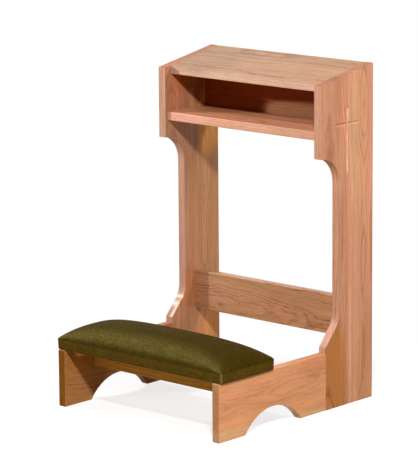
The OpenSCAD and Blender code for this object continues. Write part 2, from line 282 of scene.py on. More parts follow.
def stave(end, seed, pithAcross, pithDeep, lean=0.02, sway=0.03, tint=(1, 1, 1), ring=5.0):
    # one glued strip: where it ends, where its tree's centre lies, how its years lean and sway, and their width in mm
    return {"end": end, "seed": seed, "pithAcross": pithAcross, "pithDeep": pithDeep,
            "lean": lean, "sway": sway, "tint": tint, "ring": ring * mm}


def makeOaks():
    farEdge = 1.0    # past every board
    x, y, z = 0, 1, 2
    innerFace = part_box("desk_top")[0].x               # of the left-hand side
    leftInside = (innerFace - 11 * mm, innerFace - 1 * mm)
    leftFootInside = (innerFace - 3 * mm, innerFace - 0.5 * mm)
    backMiddle = sum(v.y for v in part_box("compartment_back")) / 2
    backFront = (backMiddle + 2 * mm, backMiddle - 2 * mm)
    made = {}
    made["right_upright"] = oak("oak_right_upright", z, y, [
        stave(0.187, 3.1, 0.120, 0.190, 0.012, 0.05, (0.765, 0.745, 0.87), 6.0),
        stave(farEdge, 8.7, 0.250, 0.243, 0.035, 0.12, (0.83, 0.86, 0.98), 5.5),
    ], [
        {"centre": (0.66, 0.214), "reach": (0.20, 0.030), "tint": (1.04, 1.16, 1.18), "strength": 0.9,
         "side": (0.187, 1.0)},
        {"centre": (0.76, 0.152), "reach": (0.16, 0.012), "tint": (0.80, 0.74, 0.68), "strength": 0.7},
        {"centre": (0.44, 0.170), "reach": (0.14, 0.007), "tint": (0.88, 0.70, 0.64), "strength": 0.8},
        {"centre": (0.06, 0.135), "reach": (0.26, 0.058), "tint": (0.78, 0.62, 0.12), "strength": 1.0,
         "broad": True},
        # painted shade: darker, greener wood low at the rear, where less light reaches
        {"centre": (0.06, 0.262), "reach": (0.20, 0.040), "tint": (0.88, 0.84, 0.64), "strength": 0.8},
        {"centre": (0.13, 0.252), "reach": (0.08, 0.009), "tint": (0.66, 0.56, 0.36), "strength": 0.6},
        # painted shade: a thin orange-brown line along the lower rear edge, turned from the light
        {"centre": (0.40, 0.281), "reach": (0.12, 0.008), "tint": (0.78, 0.58, 0.40), "strength": 0.8},
        {"centre": (0.15, 0.199), "reach": (0.16, 0.006), "tint": (1.08, 1.22, 1.25), "strength": 0.8},
    ], figure=1.0, edge=(1.07, 1.18, 1.26), end=(0.80, 0.68, 0.60), carved=((0.663, 0.187), (0.079, 0.0042)))
    made["left_upright"] = oak("oak_left_upright", z, y, [
        # staves darker than the right upright's: partly browner wood, partly painted shade on the inner face
        stave(0.187, 14.2, 0.120, -0.19, 0.03, 0.06, (0.575, 0.565, 0.56), 5.0),
        stave(farEdge, 21.9, 0.230, -0.22, -0.025, 0.06, (0.58, 0.58, 0.53), 4.5),
    ], [
        # painted light: golden fill in the shadow under the shelf, on the inner face only
        {"centre": (0.65, 0.255), "reach": (0.11, 0.062), "tint": (1.85, 1.90, 1.10), "strength": 0.9,
         "deep": leftInside},
        # painted light: paler wood where light falls on the inner face at the front of the compartment
        {"centre": (0.74, 0.115), "reach": (0.10, 0.040), "tint": (1.34, 1.22, 1.26), "strength": 0.9,
         "deep": leftInside},
        # painted light: warmer tone low on the inner face
        {"centre": (0.14, 0.200), "reach": (0.17, 0.110), "tint": (1.10, 1.04, 0.86), "strength": 0.9,
         "deep": leftInside},
        # painted light: golden fill in the shadow under the stretcher, on the inner face
        {"centre": (0.118, 0.262), "reach": (0.050, 0.050), "tint": (1.26, 1.16, 0.70), "strength": 0.9,
         "deep": leftInside},
        # painted shade: redder, darker wood in the shadow on the compartment's left wall
        {"centre": (0.772, 0.180), "reach": (0.048, 0.078), "tint": (0.96, 0.76, 0.46), "strength": 0.9,
         "deep": leftInside},
    ], figure=0.9, edge=(1.08, 1.25, 1.62), end=(1.06, 0.92, 0.84), carved=((0.663, 0.187), (0.079, 0.0042)))
    made["right_foot_board"] = oak("oak_right_foot_board", y, z, [
        stave(farEdge, 31.5, 0.09, 0.215, 0.03, 0.05, (0.93, 0.91, 0.82), 4.0),
    ], [
        {"centre": (-0.30, -0.02), "reach": (0.60, 0.055), "tint": (1.01, 1.33, 1.42), "strength": 0.9,
         "edge": (0.5, 0.95)},
        # painted shade: a darker patch near the top of the outer face, by the upright
        {"centre": (0.11, 0.13), "reach": (0.12, 0.050), "tint": (0.88, 0.80, 0.70), "strength": 0.8},
    ], figure=0.45, end=(0.70, 0.71, 0.79))
    # staves darker than the right foot board's, partly browner wood and partly painted shade; the very dark front end
    # grain is painted shade
    made["left_foot_board"] = oak("oak_left_foot_board", y, z, [
        stave(0.078, 44.1, 0.02, -0.20, 0.04, 0.05, (0.68, 0.68, 0.66), 5.0),
        stave(farEdge, 47.3, 0.10, -0.18, -0.04, 0.05, (0.66, 0.60, 0.54), 5.0),
    ], [
        # painted shade: the whole inner face darker and warmer, as it lies in shade
        {"centre": (-0.1, 0.08), "reach": (5.0, 5.0), "tint": (0.85, 0.86, 0.60), "strength": 1.0,
         "deep": leftFootInside},
    ], gloss=0.15, end=(0.48, 0.40, 0.11))
    made["desk_top"] = oak("oak_desk_top", x, y, [
        stave(0.160, 51.2, 0.13, 0.70, 0.01, 0.03, (0.67, 0.74, 0.67), 5.0),
        stave(0.226, 57.8, 0.20, 0.66, -0.012, 0.03, (0.66, 0.71, 0.63), 5.5),
        stave(farEdge, 59.6, 0.29, 0.70, 0.01, 0.03, (0.67, 0.72, 0.63), 5.0),
    ], [
        {"centre": (-0.24, 0.19), "reach": (0.20, 0.16), "tint": (0.78, 0.74, 0.70), "strength": 0.9},
    ], figure=0.8, gloss=0.3, edge=(1.25, 1.56, 2.40))
    made["book_shelf"] = oak("oak_book_shelf", x, y, [
        stave(0.17, 61.4, 0.12, 0.60, 0.012, 0.03, (0.92, 0.86, 0.88), 5.0),
        stave(farEdge, 66.8, 0.22, 0.58, -0.012, 0.03, (0.74, 0.68, 0.66), 5.0),
    ], figure=0.8, edge=(1.0, 1.16, 1.50))
    made["compartment_back"] = oak("oak_compartment_back", x, z, [
        stave(farEdge, 71.0, 0.75, 0.31, 0.02, 0.05, (0.74, 0.72, 0.66), 5.0),
    ], [
        # painted shade: the whole front face is darkened to deep brown, for the shade inside the compartment
        {"centre": (0.0, 0.75), "reach": (5.0, 5.0), "tint": (0.595, 0.305, 0.121), "strength": 1.0,
         "deep": backFront},
        # painted light: a pale patch low on the right, where the side lamp shines into the compartment
        {"centre": (0.12, 0.704), "reach": (0.19, 0.032), "tint": (1.6, 3.0, 8.0), "strength": 1.0, "ragged": 0.4,
         "edge": (0.6, 1.1), "deep": backFront},
    ], figure=0.6, gloss=0.1)
    made["back_stretcher"] = oak("oak_back_stretcher", x, z, [
        stave(farEdge, 83.3, 0.185, 0.238, 0.02, 0.10, (0.67, 0.68, 0.64), 5.0),
    ], [
        {"centre": (0.0, 0.165), "reach": (0.5, 0.014), "tint": (1.1, 1.15, 0.9), "strength": 0.7},
    ], figure=1.3, jag=2.4)
    made["kneeler_rail"] = oak("oak_kneeler_rail", x, z, [
        stave(farEdge, 91.7, 0.13, -0.12, 0.02, 0.04, (0.80, 0.94, 0.52), 5.0),
    ], gloss=0.1)
    made["left_cleat"] = made["right_cleat"] = oak("oak_cleat", y, z, [
        stave(farEdge, 97.0, 0.09, 0.30, 0.02, 0.03, (0.90, 0.88, 0.80)),
    ])
    return made


# Eased edges on the CAD boards

boards = {
    "ease": 2.2 * mm,                      # arris radius
    "cleatEase": 0.8 * mm,
    "shortest": 4 * mm,                    # shorter edges belong to bores and grooves
    "outerAngle": 60, "creaseAngle": 28,   # degrees between two faces
    "flush": 0.2 * mm,                     # an edge this near a glued plane stays sharp
}
oakNames = ("left_upright", "right_upright", "left_foot_board", "right_foot_board", "desk_top",
            "book_shelf", "compartment_back", "back_stretcher", "kneeler_rail", "left_cleat", "right_cleat")


def arrisGroup(name, planes):
    # marks the outer edges that a maker would round over; each plane is (axis, place), glued flush to a neighbour
    tree = bpy.data.node_groups.new(name, "GeometryNodeTree")
    for way in ("INPUT", "OUTPUT"):
        tree.interface.new_socket("Geometry", in_out=way, socket_type="NodeSocketGeometry")

    def put(kind, settings=None, inputs=None):
        made = tree.nodes.new(kind)
        for key, value in (settings or {}).items():
            setattr(made, key, value)
        for key, value in (inputs or {}).items():
            if isinstance(value, bpy.types.NodeSocket):
                tree.links.new(value, made.inputs[key])
            else:
                made.inputs[key].default_value = value
        return made

    def compute(operation, first, second):
        return put("ShaderNodeMath", {"operation": operation}, {0: first, 1: second}).outputs[0]

    source = put("NodeGroupInput").outputs[0]
    angle = put("GeometryNodeInputMeshEdgeAngle").outputs["Unsigned Angle"]
    signed = tree.nodes[-1].outputs["Signed Angle"]
    ends = put("GeometryNodeInputMeshEdgeVertices")
    reach = put("ShaderNodeVectorMath", {"operation": "DISTANCE"},
                {0: ends.outputs["Position 1"], 1: ends.outputs["Position 2"]}).outputs["Value"]
    place = put("ShaderNodeSeparateXYZ", None, {0: put("GeometryNodeInputPosition").outputs[0]})
    chosen = compute("MULTIPLY", compute("GREATER_THAN", signed, math.radians(boards["outerAngle"])),
                     compute("GREATER_THAN", reach, boards["shortest"]))
    for axis, value in planes:
        off = compute("ABSOLUTE", compute("SUBTRACT", place.outputs[axis], value), 0.0)
        chosen = compute("MULTIPLY", chosen, compute("GREATER_THAN", off, boards["flush"]))
    weighted = put("GeometryNodeStoreNamedAttribute", {"data_type": "FLOAT", "domain": "EDGE"},
                   {"Geometry": source, "Name": "bevel_weight_edge"})
    tree.links.new(chosen, [s for s in weighted.inputs if s.name == "Value" and s.enabled][0])
    creases = compute("GREATER_THAN", angle, math.radians(boards["creaseAngle"]))
    sharp = compute("MULTIPLY", creases, compute("SUBTRACT", 1.0, chosen))
    creased = put("GeometryNodeStoreNamedAttribute", {"data_type": "BOOLEAN", "domain": "EDGE"},
                  {"Geometry": weighted.outputs[0], "Name": "sharp_edge"})
    tree.links.new(sharp, [s for s in creased.inputs if s.name == "Value" and s.enabled][0])
    smooth = put("GeometryNodeSetShadeSmooth", None, {"Geometry": creased.outputs[0]})
    put("NodeGroupOutput", None, {0: smooth.outputs[0]})
    return tree


def modify(piece, kind, **settings):
    made = piece.modifiers.new(kind.title(), kind)
    for key, value in settings.items():
        setattr(made, key, value)
    return made


def easeEdges(name, radius, planes):
    piece = nodes[name]
    modify(piece, "WELD", merge_threshold=0.02 * mm)
    modify(piece, "DECIMATE", decimate_type="DISSOLVE", angle_limit=math.radians(0.5))
    modify(piece, "NODES", node_group=arrisGroup("arris_" + name, planes))
    modify(piece, "BEVEL", limit_method="WEIGHT", width=radius, segments=3, use_clamp_overlap=True)
    modify(piece, "WEIGHTED_NORMAL", keep_sharp=True, weight=80)


def dressBoards():
    looks = makeOaks()
    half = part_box("desk_top")[1].x                     # inner faces of the sides
    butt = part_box("right_foot_board")[1].y             # where foot board meets upright
    inner = [(0, half), (0, -half)]
    backLow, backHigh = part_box("compartment_back")
    planes = {
        "left_upright": [(1, butt)], "right_upright": [(1, butt)],
        "left_foot_board": [(1, butt)], "right_foot_board": [(1, butt)],
        "compartment_back": inner + [(2, backLow.z), (1, backLow.y)],
    }
    for name in oakNames:
        radius = boards["cleatEase"] if "cleat" in name else boards["ease"]
        easeEdges(name, radius, planes.get(name, inner))
        for materialSlot in nodes[name].material_slots:
            materialSlot.material = looks[name]


# Small parts in wood, plywood and steel

beech = {"pale": fromScreen(222, 190, 150), "dark": fromScreen(204, 166, 124), "fleck": fromScreen(170, 126, 88)}
birch = {
    "plies": 9,
    "facePale": fromScreen(226, 200, 158), "faceDark": fromScreen(200, 166, 120),
    "plyPale": fromScreen(214, 184, 138), "plyDark": fromScreen(158, 116, 74),
}
zinc = {"blue": fromScreen(196, 198, 204), "yellow": fromScreen(214, 208, 184), "roughness": 0.24}


def beechLook():
    f = Finish("beech_dowel")
    x, y, z = f.axes()
    fleck = f.noise(f.vector(x * 220, y * 1500, z * 1500), detail=1.0).rise(0.6, 0.75)
    streak = f.noise(f.vector(x * 20, y * 260, z * 260), detail=2.0)
    colour = f.mix(streak, beech["pale"], beech["dark"])
    colour = f.mix(fleck * 0.5, colour, beech["fleck"])
    f.set(baseColor=colour, roughness=fleck * 0.1 + 0.55, normal=f.bump(1 - fleck, 0.05 * mm, 0.4))
    return f.material


def birchLook(low, high):
    # veneer on the faces, stacked plies round the edge
    f = Finish("birch_ply")
    x, y, z = f.axes()
    ply = ((z - low) / (high - low) * birch["plies"]).math("FLOOR")
    odd = (ply * 0.5).math("FRACT").above(0.25)
    edge = 1 - f.facing(2).rise(0.4, 0.8)
    wander = f.noise(f.vector(x * 3, y * 14, 0.3), detail=2.0)
    figure = f.noise(f.vector(x * 6 + wander * 2, y * 90 + wander * 18, 0.7), detail=3.0)
    fine = f.noise(f.vector(x * 90, y * 1600, z * 1600), detail=1.0)
    face = f.mix(figure, birch["facePale"], birch["faceDark"])
    stack = f.mix(odd, birch["plyPale"], birch["plyDark"])
    colour = f.mix(edge, face, stack)
    colour = f.tone(colour, fine * 0.16 + 0.92)
    f.set(baseColor=colour, roughness=fine * 0.15 + 0.5, normal=f.bump(fine, 0.05 * mm, 0.5))
    return f.material


def zincLook():
    f = Finish("zinc_steel")
    x, y, z = f.axes()
    spangle = f.noise(f.vector(x, y, z), scale=900, detail=2.0)
    scuff = f.noise(f.vector(x * 60, y * 2400, z * 2400), detail=1.0)
    colour = f.mix(spangle, zinc["blue"], zinc["yellow"])
    f.set(baseColor=colour, metallic=1.0, roughness=scuff * 0.2 + zinc["roughness"])
    f.set(normal=f.bump(scuff, 0.02 * mm, 0.4))
    return f.material


def meshPiece(name, bm, material):
    data = bpy.data.meshes.new(name)
    bm.to_mesh(data)
    bm.free()
    piece = bpy.data.objects.new(name, data)
    scene.collection.objects.link(piece)
    data.materials.append(material)
    for polygon in data.polygons:
        polygon.use_smooth = True
    return piece


def applyModifiers(piece):
    graph = bpy.context.evaluated_depsgraph_get()
    data = bpy.data.meshes.new_from_object(piece.evaluated_get(graph), depsgraph=graph)
    piece.modifiers.clear()
    old = piece.data
    piece.data = data
    bpy.data.meshes.remove(old)


screwShape = {
    "threadPitch": 1.8 * mm, "threadDepth": 0.45 * mm, "threadStart": 0.3, "ringsPerTurn": 6, "sides": 20,
    "recessWidth": 1.3 * mm, "recessReach": 2.5 * mm, "recessDepth": 1.6 * mm,
}


def screwMesh(length, shank, head):
    # countersunk wood screw with a cross recess, head face at the origin, pointing along +Z
    s = screwShape
    cone = (head - shank) / 2
    bare = length * s["threadStart"]
    profile = [(head / 2 * 0.94, 0.0), (head / 2, 0.15 * mm), (shank / 2, cone + 0.2 * mm), (shank / 2, bare)]
    bm = bmesh.new()
    rings = []
    steps = int((length - bare) / s["threadPitch"] * s["ringsPerTurn"])
    depths = [z for _, z in profile] + [bare + (length - bare) * (i + 1) / steps for i in range(steps - 1)]
    radii = [r for r, _ in profile]
    for k, z in enumerate(depths):
        ring = []
        for i in range(s["sides"]):
            a = 2 * math.pi * i / s["sides"]
            if k < len(radii):
                r = radii[k]
            else:
                wave = ((z / s["threadPitch"] - i / s["sides"]) % 1.0)
                crest = max(0.0, 1 - abs(wave - 0.5) * 4)
                taper = min(1.0, (length - z) / shank)
                r = (shank / 2 - s["threadDepth"] * (1 - crest)) * taper
            ring.append(bm.verts.new((r * math.cos(a), r * math.sin(a), z)))
        rings.append(ring)
    for low, high in zip(rings, rings[1:]):
        for i in range(s["sides"]):
            j = (i + 1) % s["sides"]
            bm.faces.new((low[i], low[j], high[j], high[i]))
    bm.faces.new(rings[0][::-1])
    point = bm.verts.new((0, 0, length))
    for i in range(s["sides"]):
        bm.faces.new((rings[-1][i], rings[-1][(i + 1) % s["sides"]], point))
    return bm


def crossCutter():
    s = screwShape
    bm = bmesh.new()
    for turn in (0, 1):
        size = (s["recessReach"] * 2, s["recessWidth"], s["recessDepth"] * 2)
        made = bmesh.ops.create_cube(bm, size=1.0)["verts"]
        bmesh.ops.scale(bm, vec=size, verts=made)
        for v in made:
            if v.co.z > 0:
                v.co.x *= 0.35
                v.co.y *= 0.7
        bmesh.ops.rotate(bm, matrix=Matrix.Rotation(turn * math.pi / 2, 3, "Z"), verts=made)
    return bm


def screwPiece(name, places, length, shank, head, material):
    one = meshPiece(name + "_one", screwMesh(length, shank, head), material)
    cutter = meshPiece(name + "_cutter", crossCutter(), material)
    modify(one, "BOOLEAN", operation="DIFFERENCE", object=cutter, solver="EXACT", use_self=True)
    applyModifiers(one)
    bpy.data.objects.remove(cutter)
    bm = bmesh.new()
    for place, direction, turn in places:
        spin = direction.to_track_quat("Z", "Y").to_matrix().to_4x4() @ Matrix.Rotation(turn, 4, "Z")
        part = one.data.copy()
        part.transform(Matrix.Translation(place) @ spin)
        bm.from_mesh(part)
        bpy.data.meshes.remove(part)
    bpy.data.objects.remove(one)
    piece = meshPiece(name, bm, material)
    modify(piece, "BEVEL", limit_method="ANGLE", angle_limit=math.radians(60), width=0.08 * mm, segments=1)
    modify(piece, "WEIGHTED_NORMAL", weight=60)
    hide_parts(name)
    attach(piece, "root")
    return piece


def makeScrews(steel):
    random.seed(5)
    low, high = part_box("left_cleat")
    middleX = (low.x + high.x) / 2
    upLow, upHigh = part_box("pad_screws")
    outLow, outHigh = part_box("cleat_screws")
    head = outHigh.z - outLow.z
    shank = head / 2
    ups, outs = [], []
    for side in (-1, 1):
        for y in (upLow.y + head / 2, upHigh.y - head / 2):
            place = Vector((side * abs(middleX), y, upLow.z))
            ups.append((place, Vector((0, 0, 1)), random.uniform(0, 1.5)))
        for y in (outLow.y + head / 2, outHigh.y - head / 2):
            place = Vector((side * abs(high.x), y, (outLow.z + outHigh.z) / 2))
            outs.append((place, Vector((side, 0, 0)), random.uniform(0, 1.5)))
    screwPiece("pad_screws", ups, upHigh.z - upLow.z, shank, head, steel)
    screwPiece("cleat_screws", outs, outHigh.x - abs(high.x), shank, head, steel)


# Kneeling pad

pad = {
    "cell": 5 * mm,                 # size of the cloth's squares
    "startSmaller": 0.8 * mm,       # how much the cover swells when it fills
    "corner": 9 * mm,
    "wall": 26 * mm,
    "wallRows": 6,
    "tuck": 0.8 * mm,               # the wall leans in under the crease by this much
    "sidePower": 2.5, "fallPower": 0.53, "endDrop": 0.43, "endPower": 2.9, "shoulderPower": 10,
    "longDraw": 2.5 * mm, "endDraw": 1.5 * mm,
    "most": 4 * mm,                 # furthest that a point may move
    "pressure": 4.0, "stretch": 18, "shear": 8, "bend": 0.8, "weight": 0.35, "steps": 20,
    "gripRise": 12 * mm,            # how far up the wall the stapled edge is felt
    "gripEnds": 24 * mm,            # how far in from the boxed ends
    "cloth": 1.5 * mm,
    "border": 25 * mm,
    "pull": 0.35 * mm,              # dents at the staples
    "fold": 0.9 * mm,               # height of the pleats beside each corner
    "fill": 0.85,
}
staple = {"pitch": 27 * mm, "width": 10 * mm, "wire": 0.5 * mm, "leg": 5 * mm, "inset": 14 * mm, "skew": 9}
cloth = {
    "thread": 1.15 * mm,
    "warp": fromScreen(65, 52, 9), "warpSpeck": fromScreen(115, 98, 42),
    "weft": fromScreen(53, 41, 6), "weftSlub": fromScreen(87, 72, 22),
    # painted light and shade: the crown is tinted darker and the walls lighter, for how the lamps fall on them
    "crownPaintedShade": (0.86, 0.86, 0.82), "wallPaintedLight": (1.58, 1.52, 2.20),
    "ridgeHighlightTint": (2.60, 3.15, 7.4),     # painted highlight along the front ridge, where the lamps' sheen falls
    "sheen": (1.0, 0.84, 0.34),
}
foam = {"cream": fromScreen(228, 216, 176), "yellow": fromScreen(212, 190, 138)}


def swell(u, v):
    rise = max(0.0, 1 - abs(v) ** pad["sidePower"]) ** pad["fallPower"]
    fall = 1 - pad["endDrop"] * abs(u) ** pad["endPower"]
    return rise * fall * math.sqrt(max(0.0, 1 - min(1.0, abs(u)) ** pad["shoulderPower"]))


def evenSpread(profile, span, cell):
    # places from -1 to 1 at equal lengths along a curve, and that length
    fine = [-1 + i / 1000 for i in range(2001)]
    lengths = [0.0]
    for a, b in zip(fine, fine[1:]):
        lengths.append(lengths[-1] + math.hypot((b - a) * span, profile(b) - profile(a)))
    count = 2 * round(lengths[-1] / cell / 2)
    places, k = [], 0
    for i in range(count + 1):
        want = lengths[-1] * i / count
        while k < 1999 and lengths[k + 1] < want:
            k += 1
        places.append(fine[k] + (want - lengths[k]) / (lengths[k + 1] - lengths[k]) * 0.001)
    return places, lengths[-1] / count


def padForm(low, high):
    # crowned cushion, a little smaller than it ends, with the weave's own lengths kept at each point
    less = pad["startSmaller"]
    middle = (low + high) / 2
    halfX, halfY = (high.x - low.x) / 2 - less, (high.y - low.y) / 2 - less
    crown = high.z - low.z - pad["wall"] - less
    columns, stepX = evenSpread(lambda u: crown * swell(u, 0), halfX, pad["cell"])
    rows, stepY = evenSpread(lambda v: crown * swell(0, v), halfY, pad["cell"])
    bm = bmesh.new()
    warp, weft = bm.verts.layers.float.new("warp"), bm.verts.layers.float.new("weft")

    def plan(u, v, lean):
        # rounds the corners, draws the sides in, and leans the wall
        x, y = u * halfX, v * halfY
        r = pad["corner"]
        dx, dy = abs(x) - (halfX - r), abs(y) - (halfY - r)
        if dx > 0 and dy > 0:
            dx, dy = dx * math.sqrt(1 - dy * dy / (2 * r * r)), dy * math.sqrt(1 - dx * dx / (2 * r * r))
            x, y = math.copysign(halfX - r + dx, x), math.copysign(halfY - r + dy, y)
        draw = max(0.0, 1 - 1.6 * lean)
        x -= math.copysign(pad["endDraw"] * draw * (1 - v * v) * abs(u), x) + u * pad["tuck"] * lean
        y -= math.copysign(pad["longDraw"] * draw * (1 - u * u) * abs(v), y) + v * pad["tuck"] * lean
        return middle.x + x, middle.y + y

    def point(i, j, height, lean, drop):
        u, v = columns[i], rows[j]
        made = bm.verts.new((*plan(u, v, lean), low.z + height))
        edgeU, edgeV = i in (0, len(columns) - 1), j in (0, len(rows) - 1)
        made[warp] = (i - len(columns) // 2) * stepX + (math.copysign(drop, u) if edgeU else 0)
        made[weft] = (j - len(rows) // 2) * stepY + (math.copysign(drop, v) if edgeV else 0)
        return made

    last = (len(columns) - 1, len(rows) - 1)
    top = {(i, j): point(i, j, pad["wall"] + crown * swell(columns[i], rows[j]), 0, 0)
           for i in range(last[0] + 1) for j in range(last[1] + 1)}
    rim = ([(i, 0) for i in range(last[0])] + [(last[0], j) for j in range(last[1])]
           + [(i, last[1]) for i in range(last[0], 0, -1)] + [(0, j) for j in range(last[1], 0, -1)])
    for i in range(last[0]):
        for j in range(last[1]):
            bm.faces.new((top[i, j], top[i + 1, j], top[i + 1, j + 1], top[i, j + 1]))
    above = [top[key] for key in rim]
    for k in range(1, pad["wallRows"] + 1):
        share = k / pad["wallRows"]
        below = [point(i, j, pad["wall"] * (1 - share), share, pad["wall"] * share) for i, j in rim]
        for n in range(len(rim)):
            m = (n + 1) % len(rim)
            bm.faces.new((above[n], below[n], below[m], above[m]))
        above = below
    # turned-under border, then the floor of the cushion
    lowest = above
    for k in range(1, 6):
        inset = pad["border"] * k / 5
        shrinkX, shrinkY = 1 - inset / halfX, 1 - inset / halfY
        below = []
        for outer in lowest:
            made = bm.verts.new((middle.x + (outer.co.x - middle.x) * shrinkX,
                                 middle.y + (outer.co.y - middle.y) * shrinkY, low.z))
            made[warp], made[weft] = outer[warp], outer[weft]
            below.append(made)
        for n in range(len(rim)):
            m = (n + 1) % len(rim)
            bm.faces.new((above[n], below[n], below[m], above[m]))
        above = below
    bm.faces.new(above)
    bm.normal_update()
    return bm


def clothLook(base):
    f = Finish("olive_cloth")
    across = f.node("Attribute", {"attribute_name": "warp"}, None, "Fac")
    around = f.node("Attribute", {"attribute_name": "weft"}, None, "Fac")
    x, y, z = f.axes()
    u, v = across / cloth["thread"], around / cloth["thread"]
    wander = f.noise(f.vector(u * 0.12, v * 0.12, 0.0), detail=2.0) - 0.5
    u, v = u + wander * 0.5, v + wander * 0.4
    hopU = (u * math.pi).math("SINE").math("ABSOLUTE")
    hopV = (v * math.pi).math("SINE").math("ABSOLUTE")
    checker = ((u.math("FLOOR") + v.math("FLOOR")) * 0.5).math("FRACT").above(0.25)
    raised = hopU * checker + hopV * (1 - checker)
    fibre = f.noise(f.vector(x, y, z), scale=2600, detail=2.0)
    slub = f.noise(f.vector(u * 0.35, v * 2.2, 0.0), detail=1.0).rise(0.5, 0.85)
    speck = f.noise(f.vector(u * 0.42, v * 0.55, 3.0), detail=1.0).rise(0.52, 0.78)
    cloudy = f.noise(f.vector(x, y, z), scale=26, detail=3.0, roughness=0.6)
    warpThread = f.mix(speck, cloth["warp"], cloth["warpSpeck"])
    weftThread = f.mix(slub, cloth["weft"], cloth["weftSlub"])
    colour = f.mix(checker, warpThread, weftThread)
    colour = f.tone(colour, raised * 0.78 + 0.48)
    colour = f.tone(colour, cloudy * 0.6 + 0.70)
    mottle = f.noise(f.vector(u * 0.13, v * 0.13, 5.0), detail=1.0)
    grainy = f.noise(f.vector(u * 0.27, v * 0.27, 9.0), detail=1.0)
    colour = f.tone(colour, ((mottle - 0.5) * 0.8 + 1.0) * ((grainy - 0.5) * 0.4 + 1.0))
    # painted light and shade by height: the walls below the crown are painted lighter and the crown darker, for how
    # the lamps fall on them
    wall = 1 - (z - base).rise(21 * mm, 28 * mm)
    colour = f.tint(colour, f.mix(wall, cloth["crownPaintedShade"], cloth["wallPaintedLight"]))
    # painted highlight over the front ridge, on cloth that faces forward
    normal = f.node("NewGeometry", None, None, "Normal")
    forward = -f.node("SeparateXYZ", None, {0: normal}, 1)
    ridge = forward.rise(0.12, 0.62) * (1 - forward.rise(0.80, 0.99)) * (speck * 0.7 + 0.6)
    colour = f.tint(colour, cloth["ridgeHighlightTint"], ridge)
    f.set(baseColor=colour, roughness=fibre * 0.12 + 0.52, specularIorLevel=0.012)
    f.set(specularTint=cloth["sheen"], normal=f.bump(raised * 0.8 + fibre * 0.3, 0.35 * mm, 0.8))
    return f.material


def foamLook():
    f = Finish("cream_foam")
    x, y, z = f.axes()
    cells = f.node("TexVoronoi", None, {"Vector": f.vector(x, y, z), "Scale": 700.0}, "Distance")
    yellowed = f.noise(f.vector(x, y, z), scale=30, detail=2.0)
    colour = f.mix(yellowed, foam["cream"], foam["yellow"])
    colour = f.tone(colour, cells * 0.4 + 0.75)
    f.set(baseColor=colour, roughness=0.9, normal=f.bump(cells, 0.3 * mm, 0.7))
    return f.material


def fillPad(piece, low, high):
    # the cover is held under the board and at its boxed ends, and swells from there
    held = piece.vertex_groups.new(name="held")
    for v in piece.data.vertices:
        height = v.co.z - low.z
        grip = 1.0 if height < 3 * mm else max(0.0, 0.55 * (1 - (height - 3 * mm) / pad["gripRise"]))
        if height < pad["wall"] + 1 * mm:
            grip = max(grip, 0.9 * max(0.0, 1 - (high.x - abs(v.co.x)) / pad["gripEnds"]))
        held.add([v.index], grip, "REPLACE")
    before = [v.co.copy() for v in piece.data.vertices]
    swelling = piece.modifiers.new("Cloth", "CLOTH")
    s = swelling.settings
    s.quality = 6
    s.mass = pad["weight"]
    s.tension_stiffness = s.compression_stiffness = pad["stretch"]
    s.shear_stiffness = pad["shear"]
    s.bending_stiffness = pad["bend"]
    s.vertex_group_mass = "held"
    s.use_pressure = True
    s.uniform_pressure_force = pad["pressure"]
    s.effector_weights.gravity = 0
    swelling.point_cache.frame_start, swelling.point_cache.frame_end = 1, pad["steps"]
    for step in range(1, pad["steps"] + 1):
        scene.frame_set(step)
    applyModifiers(piece)
    scene.frame_set(1)
    for v, start in zip(piece.data.vertices, before):
        move = v.co - start
        if move.length > pad["most"]:
            v.co = start + move * (pad["most"] / move.length)


def pleat(piece, low, high):
    # fabric gathered at the corners, and pulled by its staples along the lower edge
    middle = (low + high) / 2
    piece.data.update()
    normals = [v.normal.copy() for v in piece.data.vertices]
    for v, n in zip(piece.data.vertices, normals):
        height = v.co.z - low.z
        near = max(0.0, 1 - max(0.0, height - 2 * mm) / (34 * mm))
        if height < 1.2 * mm:
            continue
        x, y = v.co.x - middle.x, v.co.y - middle.y
        toCorner = math.hypot(high.x - middle.x - abs(x), high.y - middle.y - abs(y))
        along = x if abs(y) / (high.y - middle.y) > abs(x) / (high.x - middle.x) else y
        pull = math.sin(along / staple["pitch"] * 2 * math.pi + 1.3 * math.sin(along * 31))
        v.co += n * (pull * pad["pull"] * near ** 2)
        fold = math.exp(-((toCorner - 26 * mm) / (4.5 * mm)) ** 2)
        fold -= 0.8 * math.exp(-((toCorner - 17 * mm) / (3.0 * mm)) ** 2)
        v.co += n * (fold * pad["fold"] * near ** 1.5)


def makePad():
    low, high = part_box("pad_cover")
    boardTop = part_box("pad_board")[1].z
    olive = clothLook(low.z)
    start = meshPiece("pad_start", padForm(low, high), olive)
    fillPad(start, low, high)
    pleat(start, low, high)
    for v in start.data.vertices:
        v.co.z = max(v.co.z, low.z)

    # foam above the board, inside the cover
    bm = bmesh.new()
    bm.from_mesh(start.data)
    bm.normal_update()
    for v in bm.verts:
        v.co -= v.normal * (pad["cloth"] + 0.4 * mm)
    everything = bm.verts[:] + bm.edges[:] + bm.faces[:]
    cut = bmesh.ops.bisect_plane(bm, geom=everything, plane_co=(0, 0, boardTop), plane_no=(0, 0, 1), clear_inner=True)
    rim = [e for e in cut["geom_cut"] if isinstance(e, bmesh.types.BMEdge)]
    bmesh.ops.holes_fill(bm, edges=rim)
    block = meshPiece("pad_foam_block", bm, foamLook())
    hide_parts("pad_foam")
    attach(block, "root")

    # cover, open underneath inside its turned-under border
    bm = bmesh.new()
    bm.from_mesh(start.data)
    bpy.data.objects.remove(start)
    floor = [f for f in bm.faces if len(f.verts) > 4]
    bmesh.ops.delete(bm, geom=floor, context="FACES")
    cover = meshPiece("pad_cloth_cover", bm, olive)
    modify(cover, "SUBSURF", levels=1, render_levels=1)
    modify(cover, "SOLIDIFY", thickness=pad["cloth"], offset=-1)
    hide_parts("pad_cover")
    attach(cover, "root")
    return low, high


